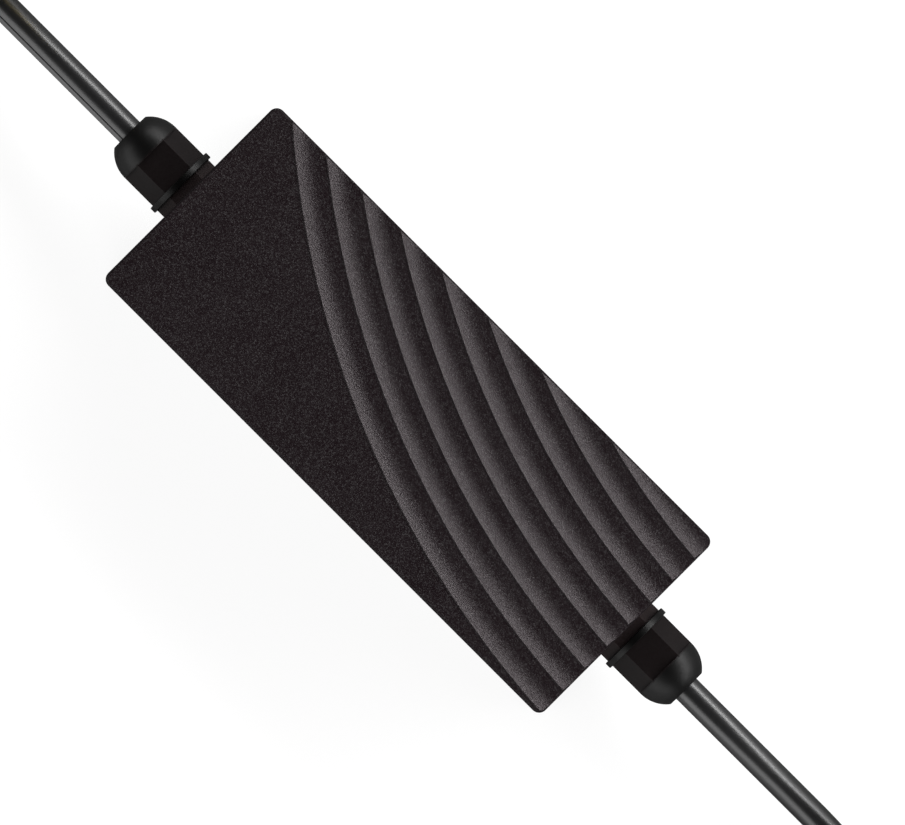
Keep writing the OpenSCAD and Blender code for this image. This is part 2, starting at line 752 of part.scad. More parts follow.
module plug_blades() color("#c9b26a") at_lead_end(-1, plug_z) translate([0, 0, relief_l + plug_l]) {
  for (y = [-1, 1]) translate([blade_low, y * blade_gap / 2, 0]) box(blade_w, blade_t, blade_l);
  translate([-earth_up, 0, 0]) {
    cylinder(r = earth_r, h = blade_l);
    translate([0, 0, blade_l]) intersection() {
      sphere(r = earth_r);
      cylinder(r = earth_r, h = earth_r);
    }
  }
}

module connector_body() color("#1f1e1f") at_lead_end(1, connector_z) {
  strain_relief();
  translate([0, 0, relief_l]) cylinder(r = connector_r, h = connector_grip_l);
  translate([0, 0, relief_l + connector_grip_l])
    cylinder(r = connector_neck_r, h = coupling_l - connector_mouth_l);
}

module connector_nut() color("#2c2b2c") at_lead_end(1, connector_z)
  translate([0, 0, relief_l + connector_grip_l + rest_gap]) difference() {
    linear_extrude(coupling_l) polygon([
      for (i = [0 : coupling_ribs - 1], q = [0 : 3]) let (
          r = q < 2 ? coupling_r : coupling_r - coupling_rib_d,
          turn = (i + [0.05, 0.5, 0.58, 0.97][q]) * 360 / coupling_ribs)
        [r * cos(turn), r * sin(turn)]]);
    translate([0, 0, -cut_past]) cylinder(r = connector_neck_r + fit_gap, h = coupling_l + 2 * cut_past);
  }

module connector_pins() color("#c9b26a") at_lead_end(1, connector_z)
  translate([0, 0, relief_l + connector_grip_l + coupling_l - connector_mouth_l])
    for (y = [-1, 1]) translate([0, y * connector_pin_gap / 2, 0])
      cylinder(r = connector_pin_r, h = connector_pin_l);

top_cover();
base_plate();
cover_gasket();
cover_screws();
input_gland_body();
input_gland_ring();
input_gland_seal();
input_dome_nut();
input_lock_nut();
output_gland_body();
output_gland_ring();
output_gland_seal();
output_dome_nut();
output_lock_nut();
circuit_board();
board_screws();
input_terminal();
fuse_clips();
fuse();
varistor();
line_capacitor();
line_choke_core();
line_choke_windings();
bridge_rectifier();
bulk_capacitor();
transformer_core();
transformer_winding();
switching_transistor();
primary_heatsink();
controller_chip();
optocoupler();
safety_capacitor();
output_diode();
secondary_heatsink();
output_capacitors();
output_choke();
output_terminal();
input_wires();
output_wires();
input_lead_run();
input_lead_hank();
input_lead_end();
input_tie();
mains_plug();
plug_blades();
output_lead_run();
output_lead_hank();
output_lead_end();
output_tie();
connector_body();
connector_nut();
connector_pins();
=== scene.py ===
"""Looks of an in-line power adapter: a sealed black case with a relief of curved bands, a cable gland
and a lead at each end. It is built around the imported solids, in their frame, in metres."""

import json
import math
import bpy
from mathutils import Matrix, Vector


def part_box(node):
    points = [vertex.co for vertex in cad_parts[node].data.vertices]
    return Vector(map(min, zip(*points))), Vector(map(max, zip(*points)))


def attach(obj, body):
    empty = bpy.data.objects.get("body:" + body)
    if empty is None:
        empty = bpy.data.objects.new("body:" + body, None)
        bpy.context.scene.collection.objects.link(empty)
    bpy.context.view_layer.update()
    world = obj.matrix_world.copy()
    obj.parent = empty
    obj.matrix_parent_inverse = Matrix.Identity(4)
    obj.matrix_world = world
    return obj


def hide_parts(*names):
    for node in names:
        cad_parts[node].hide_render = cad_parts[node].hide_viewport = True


bl_info = {
    "name": "In-line power adapter",
    "version": (1, 0, 0),
    "blender": (4, 5, 0),
    "location": "3D View > Sidebar > Adapter",
    "description": "Dresses the solids of an in-line power adapter and sets it on a studio floor",
    "category": "Add Mesh",
}

import bpy
from bpy.props import FloatProperty, FloatVectorProperty, IntProperty, PointerProperty
from mathutils import Vector

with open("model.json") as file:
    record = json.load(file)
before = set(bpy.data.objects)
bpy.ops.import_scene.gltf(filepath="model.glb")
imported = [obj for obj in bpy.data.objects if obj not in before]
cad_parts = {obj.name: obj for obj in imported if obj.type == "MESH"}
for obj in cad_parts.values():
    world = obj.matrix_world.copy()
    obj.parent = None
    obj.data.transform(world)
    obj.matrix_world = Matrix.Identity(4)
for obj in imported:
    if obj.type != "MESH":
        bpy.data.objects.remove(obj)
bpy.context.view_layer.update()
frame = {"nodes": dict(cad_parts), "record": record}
NODES = frame["nodes"]
BODY = "root"
MM = 0.001
FULL_TURN = 2 * math.pi

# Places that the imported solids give: the case's end wall, the glands' height, and the end of the
# domed nut, whose dome takes up its last stretch
COVER_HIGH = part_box("top_cover")[1]
NUT_LOW, NUT_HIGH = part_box("output_dome_nut")
WALL_X = COVER_HIGH.x
NOSE_X = NUT_HIGH.x
DOME_LENGTH = 0.0069

# Case's edge: the chamfer's faces are those whose normals have an upward share between these, and
# its colour is this share of the case's, as painted shade that dims the light the chamfer catches
EDGE_RISE = 0.4
TOP_RISE = 0.9
EDGE_PAINTED_SHADE = 0.8
# Hexagon at the wall: how many times paler it is than the nut: painted light against the wall's shade
HEXAGON_PAINTED_LIGHT = 2.9

# Curved bands on the cover, which share one centre: in metres, as in the part's source
BAND_CENTRE = (0.0884, 0.2111, 0.0)
BAND_RADIUS = 0.24036
BAND_PITCH = 0.00752
BAND_COUNT = 8
# Slope that the finish adds to the solid's low ridges: its width, its steepness at a crest, how fast
# it levels out, and the width and steepness of the lean at the root of the next crest
BAND_SLOPE_WIDTH = 0.005
BAND_STEEPNESS = 0.3
BAND_CURVE = 2.1
BAND_ROOT_WIDTH = 0.0008
BAND_ROOT_STEEPNESS = 0.3
# It is added where the surface faces upwards: none at the first share, and all at the second
BAND_FACING = (0.95, 0.98)

# Leads' routes in millimetres: out from the end wall, sideways, and up, as in the part's source
ROUTE = [
    (-4.5, 0, 18), (5, 0, 18), (15, 0, 18), (23, 0, 18), (31, 0, 17.7), (39, 0, 16.3),
    (47, 0, 13.8), (55, 0, 10.6), (63, 0, 7.5), (71, 0, 5.2), (79.3, -1, 4),
    (87, -3.9, 3.6), (94, -8.5, 3.6), (99.7, -14.5, 3.6), (105.2, -20.5, 3.6),
    (112, -25.3, 3.6), (119.9, -28.2, 3.6), (128, -28.8, 3.6),
]
END_ROUTE = [
    (178.5, 23.9, 0), (171, 25.4, 0.02), (163.5, 25, 0.1), (156, 23.7, 0.36),
    (148.5, 21.8, 0.69), (141, 20.4, 0.94), (134, 20, 1), (127, 20, 1),
]
# Hank in millimetres: the near fold's centre from the wall, the straight stretch between the folds'
# centres, the folds' radii, the height of the first turns, how many turns, and the points' distance
HANK_NEAR = 128.0
HANK_STRAIGHT = 44.0
HANK_IN = 21.6
TURN_PITCH = 7.2
HANK_OUT = HANK_IN + TURN_PITCH
HANK_MID = HANK_IN + TURN_PITCH / 2
LAYER_Z = TURN_PITCH / 2
HANK_TURNS = 3.44
HANK_STEP = 8.0
# A turn's crossing to its next place: at how many turns, rise's length, delay and length of the
# sideways shift, radius and height that it comes to
CROSSINGS = [
    (0.64, 40, 0, 40, HANK_IN, LAYER_Z),
    (1.53, 40, 0, 40, HANK_IN, LAYER_Z + TURN_PITCH),
    (2.42, 40, 0, 40, HANK_OUT, LAYER_Z + TURN_PITCH),
    (3.21, 56, 16, 40, HANK_MID, LAYER_Z + 2 * TURN_PITCH),
]
# Under the tie the turns lie this much higher, from this far to each side of it
TIE_LIFT = 0.75
TIE_LIFT_REACH = 22.0
SPLINE_PARTS = 4

# Grooves of the input lead: degrees from a groove's middle with the share of its depth there, the
# stretch to each side of it that has no other point, and where the stripe begins in it
GROOVE_DIP = ((-3.6, 0.0), (-1.8, 0.75), (0.0, 1.0), (1.8, 0.75), (3.6, 0.0))
GROOVE_CLEAR = math.radians(4.5)
GROOVE_HALF = math.radians(1.8)
# Map of the leads: turns round them, and how often this length goes into the length along them
LEAD_UV = "lead_uv"
LEAD_UV_LENGTH = 0.022

# Ties: the strap's width, the bundle of two by two leads that it holds, which are 7 mm thick, and the
# rounding of the strap's corners and edges
STRAP_WIDTH = 0.012
BUNDLE = (TURN_PITCH + 7.0) * MM
STRAP_CORNER = 3.4 * MM
STRAP_EDGE = 0.22 * MM
# Its free end on top: its shift sideways, and its share of the strap's width and the bundle's
TONGUE_SHIFT = 1.2 * MM
TONGUE_WIDTH = 0.98
TONGUE_LENGTH = 0.62

# Meshes: points closer than this are joined, faces within this angle are one, and creases sharper
# than these stay sharp
WELD_DISTANCE = 0.000001
FLAT_ANGLE = math.radians(0.3)
MOULDED_CREASE = math.radians(28)
STRAP_CREASE = math.radians(35)
STRAP_BEVEL_ANGLE = math.radians(50)
LEAD_CREASE = math.radians(60)

# Stage: the floor's glow for the camera, its glow in reflections at two places across the object,
# and how far to each side it doesn't glow in reflections, a painted shadow of the object
FLOOR_SIZE = 60.0
FLOOR_GLOW = 0.87
FLOOR_MIRRORED = (0.4, 0.18)
FLOOR_MIRROR_ACROSS = (-0.05, 0.05)
FLOOR_PAINTED_SHADOW_FROM = 0.026
FLOOR_PAINTED_SHADOW_TO = 0.038
# Surround: its strength low down and overhead, and the rises of the view between which it changes
ROOM_SIDE = 0.3
ROOM_TOP = 0.08
ROOM_CLIMB = (0.25, 0.75)
# Lamps: azimuth, elevation, distance, width, height and radiance
LAMPS = {
    "key_softbox": (77.0, 31.0, 1.6, 6.0, 0.34, 14.0),
    "side_softbox": (80.0, 13.0, 2.0, 6.0, 0.8, 1.8),
    "fill_softbox": (-90.0, 25.0, 1.6, 6.0, 1.2, 2.7),
}
# Camera: straight above, turned so that the object lies as in the photograph. The frame's width is
# what it sees at the height of the cover's top
CAMERA_HEIGHT = 6.0
CAMERA_MIDDLE = (0.00799, 0.00729)
CAMERA_TURN = math.radians(45)
CAMERA_REACH = 100.0
FRAME_WIDTH = 0.2195
SENSOR_WIDTH = 36.0


# Sizes and colours that a user would change


class AdapterSizes(bpy.types.PropertyGroup):
    """Sizes of the pieces that are made here"""

    lead_diameter: FloatProperty(
        name="Lead diameter", description="Outer diameter of both leads",
        default=0.007, min=0.005, max=0.0072, unit="LENGTH")
    lead_sides: IntProperty(
        name="Lead sides", description="Flats round a lead's section",
        default=28, min=12, max=48)
    groove_depth: FloatProperty(
        name="Groove depth", description="Depth of the grooves beside the input lead's stripe",
        default=0.0003, min=0.0, max=0.0008, unit="LENGTH")
    groove_angle: FloatProperty(
        name="Groove angle", description="How far each groove lies from the middle of the stripe",
        default=math.radians(46), min=0.2, max=1.5, subtype="ANGLE")
    strap_thickness: FloatProperty(
        name="Strap thickness", description="Thickness of the ties",
        default=0.0008, min=0.0004, max=0.0015, unit="LENGTH")
    edge_round: FloatProperty(
        name="Edge rounding", description="Rounding of moulded edges on the glands",
        default=0.00018, min=0.0, max=0.0006, unit="LENGTH")
    grain_size: FloatProperty(
        name="Grain size", description="Size of one grain of the case's moulded texture",
        default=0.0002, min=0.0001, max=0.002, unit="LENGTH")


class AdapterColours(bpy.types.PropertyGroup):
    """Colours of the main finishes"""

    case: FloatVectorProperty(
        name="Housing", description="Grained plastic of the cover and the base plate",
        default=(0.0101, 0.0071, 0.0081), min=0.0, max=1.0, subtype="COLOR")
    gland: FloatVectorProperty(
        name="Glands", description="Smooth plastic of the cable glands",
        default=(0.0065, 0.0045, 0.0046), min=0.0, max=1.0, subtype="COLOR")
    # The domes' colour: the glands' nylon painted far darker, as painted shade
    dome: FloatVectorProperty(
        name="Domes", description="Smooth plastic of the domed end of the cable glands",
        default=(0.0008, 0.0007, 0.0007), min=0.0, max=1.0, subtype="COLOR")
    ring: FloatVectorProperty(
        name="Sealing rings", description="Rubber of the sealing rings",
        default=(0.0012, 0.0011, 0.0011), min=0.0, max=1.0, subtype="COLOR")
    lead: FloatVectorProperty(
        name="Leads", description="Jacket of both leads",
        default=(0.0095, 0.0095, 0.0098), min=0.0, max=1.0, subtype="COLOR")
    stripe: FloatVectorProperty(
        name="Marking stripe", description="Stripe along the input lead",
        default=(0.12, 0.12, 0.122), min=0.0, max=1.0, subtype="COLOR")
    strap: FloatVectorProperty(
        name="Ties", description="Woven strap of the ties",
        default=(0.018, 0.018, 0.02), min=0.0, max=1.0, subtype="COLOR")
    plug: FloatVectorProperty(
        name="Plug and connector", description="Moulding of the plug and the connector",
        default=(0.0105, 0.0098, 0.0102), min=0.0, max=1.0, subtype="COLOR")
    floor: FloatVectorProperty(
        name="Floor", description="Colour of the studio's floor, besides its glow",
        default=(0.2, 0.2, 0.2), min=0.0, max=1.0, subtype="COLOR")


# Shader groups that several finishes share


# Sockets of a mix node for numbers and for colours: its two values, and its result
MIX_SOCKETS = {"FLOAT": (2, 3, 0), "RGBA": (6, 7, 2)}
# Values of the noise in the marks of handling between which a surface goes from dull to shiny
MARKS_SPREAD = (0.35, 0.65)
# Painted shade of a woven strap between its threads
THREAD_PAINTED_SHADE = 0.35


def make_group(name, inputs, outputs):
    """An empty shader group with these named sockets, and its input and output nodes."""
    group = bpy.data.node_groups.new(name, "ShaderNodeTree")
    for label, default in inputs:
        socket = group.interface.new_socket(label, in_out="INPUT", socket_type="NodeSocketFloat")
        socket.default_value = default
    for label in outputs:
        group.interface.new_socket(label, in_out="OUTPUT", socket_type="NodeSocketFloat")
    return group, group.nodes.new("NodeGroupInput"), group.nodes.new("NodeGroupOutput")


def feed(links, socket, value):
    """Gives a socket its value: another socket, or a constant."""
    if isinstance(value, bpy.types.NodeSocket):
        links.new(value, socket)
    else:
        socket.default_value = value


def add_node(nodes, links, kind, **given):
    """A node of this kind, with these inputs."""
    node = nodes.new(kind)
    for label, value in given.items():
        feed(links, node.inputs[label], value)
    return node


def map_range(nodes, links, value, low, high, to_low=0.0, to_high=1.0):
    """A value mapped from one range to another, and held at its ends."""
    node = nodes.new("ShaderNodeMapRange")
    for socket, given in zip(node.inputs, (value, low, high, to_low, to_high)):
        feed(links, socket, given)
    return node.outputs["Result"]


def vector_math(nodes, links, operation, *given):
    """One step of vector arithmetic: its node, because some steps give a number."""
    node = nodes.new("ShaderNodeVectorMath")
    node.operation = operation
    for socket, value in zip(node.inputs, given):
        feed(links, socket, value)
    return node


def number_math(nodes, links, operation, *given):
    """One step of arithmetic: its result."""
    node = nodes.new("ShaderNodeMath")
    node.operation = operation
    for socket, value in zip(node.inputs, given):
        feed(links, socket, value)
    return node.outputs["Value"]


def mixed(nodes, links, kind, share, first, second):
    """A mix of two numbers or two colours, with this share of the second."""
    node = nodes.new("ShaderNodeMix")
    node.data_type = kind
    at_first, at_second, result = MIX_SOCKETS[kind]
    feed(links, node.inputs[0], share)
    feed(links, node.inputs[at_first], first)
    feed(links, node.inputs[at_second], second)
    return node.outputs[result]


def grain_group():
    """Fine moulded grain: a speckle for the colour and a height for the bump."""
    if "Moulded grain" in bpy.data.node_groups:
        return bpy.data.node_groups["Moulded grain"]
    group, given, result = make_group(
        "Moulded grain", [("Scale", 3500.0), ("Rarity", 1.0)], ["Speckle", "Height"])
    nodes, links = group.nodes, group.links
    place = nodes.new("ShaderNodeTexCoord").outputs["Object"]
    scale = given.outputs["Scale"]
    cells = add_node(nodes, links, "ShaderNodeTexVoronoi", Vector=place, Scale=scale)
    part = add_node(nodes, links, "ShaderNodeSeparateXYZ", Vector=cells.outputs["Color"])
    rare = number_math(nodes, links, "POWER", part.outputs["X"], given.outputs["Rarity"])
    links.new(rare, result.inputs["Speckle"])
    soft = add_node(nodes, links, "ShaderNodeTexNoise", Vector=place, Scale=scale, Detail=1.0)
    both = number_math(nodes, links, "ADD", cells.outputs["Distance"], soft.outputs["Fac"])
    links.new(both, result.inputs["Height"])
    return group


def handling_group():
    """Broad faint marks of handling: a mask that changes how matt a surface is."""
    if "Handling marks" in bpy.data.node_groups:
        return bpy.data.node_groups["Handling marks"]
    group, given, result = make_group(
        "Handling marks", [("Scale", 60.0), ("Dullest", 0.5), ("Shiniest", 0.4)], ["Roughness"])
    nodes, links = group.nodes, group.links
    place = nodes.new("ShaderNodeTexCoord")
    marks = add_node(nodes, links, "ShaderNodeTexNoise", Vector=place.outputs["Object"],
                     Scale=given.outputs["Scale"], Detail=4.0, Distortion=0.6)
    spread = map_range(nodes, links, marks.outputs["Fac"], *MARKS_SPREAD,
                       given.outputs["Dullest"], given.outputs["Shiniest"])
    links.new(spread, result.inputs["Roughness"])
    return group


def band_group():
    """Slope of the cover's curved bands: a normal that leans to the bands' centre below each crest,
    less and less further in, and that leans out again at the root of the next crest."""
    if "Band relief" in bpy.data.node_groups:
        return bpy.data.node_groups["Band relief"]
    group, _, result = make_group("Band relief", [], [])
    group.interface.new_socket("Normal", in_out="OUTPUT", socket_type="NodeSocketVector")
    nodes, links = group.nodes, group.links
    place = nodes.new("ShaderNodeTexCoord")
    off = vector_math(nodes, links, "SUBTRACT", place.outputs["Object"], BAND_CENTRE)
    level = vector_math(nodes, links, "MULTIPLY", off.outputs["Vector"], (1.0, 1.0, 0.0))
    radius = vector_math(nodes, links, "LENGTH", level.outputs["Vector"]).outputs["Value"]
    inwards = number_math(nodes, links, "SUBTRACT", BAND_RADIUS, radius)
    past_crest = number_math(nodes, links, "FLOORED_MODULO", inwards, BAND_PITCH)
    descent = map_range(nodes, links, past_crest, 0.0, BAND_SLOPE_WIDTH)
    levelled = number_math(nodes, links, "POWER", descent, BAND_CURVE)
    slope = map_range(nodes, links, levelled, 0.0, 1.0, BAND_STEEPNESS, 0.0)
    root = map_range(nodes, links, past_crest, BAND_PITCH - BAND_ROOT_WIDTH, BAND_PITCH, 0.0,
                     BAND_ROOT_STEEPNESS)
    whole = number_math(nodes, links, "SUBTRACT", slope, root)
    outside = number_math(nodes, links, "GREATER_THAN", inwards, -BAND_ROOT_WIDTH)
    within = number_math(nodes, links, "LESS_THAN", inwards, BAND_COUNT * BAND_PITCH)
    banded = number_math(nodes, links, "MULTIPLY", outside, within)
    part = add_node(nodes, links, "ShaderNodeSeparateXYZ", Vector=place.outputs["Normal"])
    upwards = map_range(nodes, links, part.outputs["Z"], *BAND_FACING)
    masked = number_math(nodes, links, "MULTIPLY", banded, upwards)
    amount = number_math(nodes, links, "MULTIPLY", masked, whole)
    away = vector_math(nodes, links, "NORMALIZE", level.outputs["Vector"])
    lean = vector_math(nodes, links, "SCALE", away.outputs["Vector"])
    links.new(amount, lean.inputs["Scale"])
    leaning = vector_math(nodes, links, "SUBTRACT", place.outputs["Normal"], lean.outputs["Vector"])
    turned = add_node(nodes, links, "ShaderNodeVectorTransform", Vector=leaning.outputs["Vector"])
    turned.vector_type = "NORMAL"
    turned.convert_from = "OBJECT"
    turned.convert_to = "WORLD"
    unit = vector_math(nodes, links, "NORMALIZE", turned.outputs["Vector"])
    links.new(unit.outputs["Vector"], result.inputs["Normal"])
    return group


def thread_group():
    """Threads that cross at right angles, as in webbing: a height, and a painted shade between them.
    """
    if "Woven threads" in bpy.data.node_groups:
        return bpy.data.node_groups["Woven threads"]
    group, given, result = make_group("Woven threads", [("Scale", 900.0)], ["Height", "Shade"])
    nodes, links = group.nodes, group.links
    place = nodes.new("ShaderNodeTexCoord")
    part = add_node(nodes, links, "ShaderNodeSeparateXYZ", Vector=place.outputs["Object"])
    around = number_math(nodes, links, "ADD", part.outputs["Y"], part.outputs["Z"])
    flat = add_node(nodes, links, "ShaderNodeCombineXYZ", X=part.outputs["X"], Y=around)
    waves = []
    for direction in ("X", "Y"):
        wave = add_node(nodes, links, "ShaderNodeTexWave", Vector=flat.outputs["Vector"],
                        Scale=given.outputs["Scale"], Distortion=0.6, Detail=1.0)
        wave.bands_direction = direction
        waves.append(wave.outputs["Fac"])
    cross = number_math(nodes, links, "MULTIPLY", *waves)
    links.new(cross, result.inputs["Height"])
    # Darker between the threads: painted shade
    shade = map_range(nodes, links, cross, 0.0, 1.0, THREAD_PAINTED_SHADE, 1.0)
    links.new(shade, result.inputs["Shade"])
    return group


# Finishes


# Leads' jacket: grains and marks of handling a metre, least and greatest share of its colour, the
# grain's depth, and the blur of the stripe's edges as a share of a turn
JACKET_GRAINS = 1500.0
JACKET_MARKS = 45.0
JACKET_SHADES = (0.85, 1.15)
JACKET_DEPTH = 0.0000003
STRIPE_BLUR = 0.004
# Ties' strap: scale of its threads, the share of its colour between them as painted shade, and their
# height
STRAP_THREADS = 260.0
STRAP_PAINTED_SHADE = 0.3
STRAP_DEPTH = 0.00025
# Windings: length of one band of a wave texture whose scale is 1, the share of the colour between
# turns as painted shade, and the turns' height as a share of their pitch
WAVE_BAND = 0.314
WINDING_PAINTED_SHADE = 0.35
WINDING_HEIGHT = 0.3
# Capped pieces: blur of the cap's edge, marks of handling a metre, how far from its middle the fuse
# is bare metal, and how high over the board a can is
CAP_BLUR = 0.00005
CAP_MARKS = 200.0
FUSE_BARE_FROM = 0.0062
CAN_BARE_FROM = 0.0226
# Finishes of the case and of the smooth parts of the glands
CASE_FINISH = {"depth": 0.000035, "contrast": 1.0, "dull": 0.42, "shiny": 0.39, "specular": 0.41,
               "tint": (1.0, 0.91, 0.94), "rarity": 4.5}
SMOOTH_GRAIN = {"grain": 0.0004, "depth": 0.000004, "contrast": 0.2}
EDGE_FINISH = {**SMOOTH_GRAIN, "dull": 0.6, "shiny": 0.55, "specular": 0.1}
NYLON_FINISH = {**SMOOTH_GRAIN, "dull": 0.53, "shiny": 0.47, "specular": 0.12}
DOME_FINISH = {**SMOOTH_GRAIN, "dull": 0.47, "shiny": 0.43, "specular": 0.21}
RING_FINISH = {**SMOOTH_GRAIN, "depth": 0.000006, "dull": 0.42, "shiny": 0.38, "specular": 0.17}


def new_finish(name):
    """A new material with its nodes, links and principled shader."""
    finish = bpy.data.materials.new(name)
    finish.use_nodes = True
    nodes = finish.node_tree.nodes
    return finish, nodes, finish.node_tree.links, nodes["Principled BSDF"]


def add_group(nodes, group, **values):
    """A use of a shader group, with these inputs."""
    node = nodes.new("ShaderNodeGroup")
    node.node_tree = group
    for label, value in values.items():
        node.inputs[label].default_value = value
    return node


def shades(nodes, links, share, dark, light, shader):
    """Feeds the base colour with a mix of two colours, and gives that mix."""
    colour = mixed(nodes, links, "RGBA", share, (*dark, 1.0), (*light, 1.0))
    links.new(colour, shader.inputs["Base Color"])
    return colour


def bump(nodes, links, height, depth, shader):
    """Feeds the shader's normal with a relief of this depth in metres."""
    node = add_node(nodes, links, "ShaderNodeBump", Strength=1.0, Distance=depth, Height=height)
    links.new(node.outputs["Normal"], shader.inputs["Normal"])


def worn(nodes, links, marks, dull, shiny, shader):
    """Feeds the roughness with marks of handling, so many a metre, between dull and shiny."""
    soil = add_group(nodes, handling_group(), Scale=marks, Dullest=dull, Shiniest=shiny)
    links.new(soil.outputs["Roughness"], shader.inputs["Roughness"])


def grained(name, colour, grain, depth, contrast, dull, shiny, specular, marks=60.0, metal=0.0,
            tint=(1.0, 1.0, 1.0), rarity=1.0):
    """A moulded or cast finish with a fine grain, a speckle in its colour and marks of handling.
    The higher the rarity, the fewer and the paler are the speckle's pale grains."""
    if name in bpy.data.materials:
        return bpy.data.materials[name]
    finish, nodes, links, shader = new_finish(name)
    fine = add_group(nodes, grain_group(), Scale=1.0 / grain, Rarity=rarity)
    grey = contrast * min(colour)
    dark = [c - grey for c in colour]
    light = [min(1.0, c + grey * rarity) for c in colour]
    shades(nodes, links, fine.outputs["Speckle"], dark, light, shader)
    worn(nodes, links, marks, dull, shiny, shader)
    shader.inputs["Specular IOR Level"].default_value = specular
    shader.inputs["Specular Tint"].default_value = (*tint, 1.0)
    shader.inputs["Metallic"].default_value = metal
    bump(nodes, links, fine.outputs["Height"], depth, shader)
    return finish


def banded(finish):
    """Adds the slope of the curved bands under this finish's grain."""
    nodes, links = finish.node_tree.nodes, finish.node_tree.links
    bands = add_group(nodes, band_group())
    links.new(bands.outputs["Normal"], nodes["Bump"].inputs["Normal"])
    return finish


def lead_finish(name, colour, stripe=None, stripe_half=0.0):
    """A lead's smooth jacket, with a stripe along it where one is given."""
    if name in bpy.data.materials:
        return bpy.data.materials[name]
    finish, nodes, links, shader = new_finish(name)
    fine = add_group(nodes, grain_group(), Scale=JACKET_GRAINS)
    dark, light = ([c * share for c in colour] for share in JACKET_SHADES)
    jacket = shades(nodes, links, fine.outputs["Speckle"], dark, light, shader)
    if stripe is not None:
        around = nodes.new("ShaderNodeUVMap")
        around.uv_map = LEAD_UV
        part = add_node(nodes, links, "ShaderNodeSeparateXYZ", Vector=around.outputs["UV"])
        plain = beyond(nodes, links, part.outputs["X"], 0.5, stripe_half, STRIPE_BLUR)
        striped = mixed(nodes, links, "RGBA", plain, (*stripe, 1.0), jacket)
        links.new(striped, shader.inputs["Base Color"])
    worn(nodes, links, JACKET_MARKS, 0.35, 0.32, shader)
    shader.inputs["Specular IOR Level"].default_value = 0.66
    bump(nodes, links, fine.outputs["Height"], JACKET_DEPTH, shader)
    return finish


def strap_finish(name, colour):
    """Woven strap with visible crossing threads, and painted shade between them."""
    if name in bpy.data.materials:
        return bpy.data.materials[name]
    finish, nodes, links, shader = new_finish(name)
    threads = add_group(nodes, thread_group(), Scale=STRAP_THREADS)
    # Darker between the threads: painted shade
    dark = [c * STRAP_PAINTED_SHADE for c in colour]
    shades(nodes, links, threads.outputs["Shade"], dark, colour, shader)
    shader.inputs["Roughness"].default_value = 0.8
    shader.inputs["Specular IOR Level"].default_value = 0.3
    shader.inputs["Sheen Weight"].default_value = 0.25
    bump(nodes, links, threads.outputs["Height"], STRAP_DEPTH, shader)
    return finish


def wound_finish(name, colour, pitch, direction, metal=0.0):
    """Turns of wire or tape that lie side by side, with painted shade between them."""
    if name in bpy.data.materials:
        return bpy.data.materials[name]
    finish, nodes, links, shader = new_finish(name)
    place = nodes.new("ShaderNodeTexCoord")
    wave = add_node(nodes, links, "ShaderNodeTexWave", Vector=place.outputs["Object"],
                    Scale=WAVE_BAND / pitch, Distortion=0.4)
    wave.bands_direction = direction
    # Darker between the turns: painted shade
    dark = [c * WINDING_PAINTED_SHADE for c in colour]
    shades(nodes, links, wave.outputs["Fac"], dark, colour, shader)
    shader.inputs["Roughness"].default_value = 0.35
    shader.inputs["Metallic"].default_value = metal
    bump(nodes, links, wave.outputs["Fac"], pitch * WINDING_HEIGHT, shader)
    return finish


def beyond(nodes, links, source, middle, reach, blur):
    """Mask that is 1 where a value is further than the reach from its middle."""
    off = number_math(nodes, links, "SUBTRACT", source, middle)
    away = number_math(nodes, links, "ABSOLUTE", off)
    return map_range(nodes, links, away, reach - blur, reach)


def object_axis(nodes, links, axis):
    """One coordinate of a point on the piece."""
    place = nodes.new("ShaderNodeTexCoord")
    part = add_node(nodes, links, "ShaderNodeSeparateXYZ", Vector=place.outputs["Object"])
    return part.outputs[axis]


def capped_finish(name, side, cap, axis, middle, reach):
    """Side colour round the middle of a piece, and bare metal beyond a distance from it."""
    if name in bpy.data.materials:
        return bpy.data.materials[name]
    finish, nodes, links, shader = new_finish(name)
    ends = beyond(nodes, links, object_axis(nodes, links, axis), middle, reach, CAP_BLUR)
    shades(nodes, links, ends, side, cap, shader)
    links.new(ends, shader.inputs["Metallic"])
    worn(nodes, links, CAP_MARKS, 0.4, 0.3, shader)
    return finish


# Meshes


def deselect():
    """Leaves edit mode, with nothing selected."""
    if bpy.context.object and bpy.context.object.mode != "OBJECT":
        bpy.ops.object.mode_set(mode="OBJECT")
    bpy.ops.object.select_all(action="DESELECT")


def make_active(piece):
    """Selects this piece only, for the operators that follow."""
    deselect()
    piece.select_set(True)
    bpy.context.view_layer.objects.active = piece


def place_piece(piece, name, finish, slot, *nodes):
    """Names a finished piece, gives it its finish, and lets it stand for these solids."""
    piece.name = name
    piece.data.name = name
    piece.data.materials.clear()
    piece.data.materials.append(finish)
    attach(piece, BODY)
    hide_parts(*nodes)
    return piece


def apply_modifier(piece, kind, **settings):
    """Adds a modifier with these settings and applies it."""
    make_active(piece)
    bpy.ops.object.modifier_add(type=kind)
    modifier = piece.modifiers[-1]
    for key, value in settings.items():
        setattr(modifier, key, value)
    bpy.ops.object.modifier_apply(modifier=modifier.name)


def smooth(piece, angle):
    """Smooth shading with crisp edges, in which large flat faces stay flat."""
    make_active(piece)
    bpy.ops.object.shade_smooth_by_angle(angle=angle, keep_sharp_edges=False)
    apply_modifier(piece, "WEIGHTED_NORMAL", keep_sharp=True, weight=100)


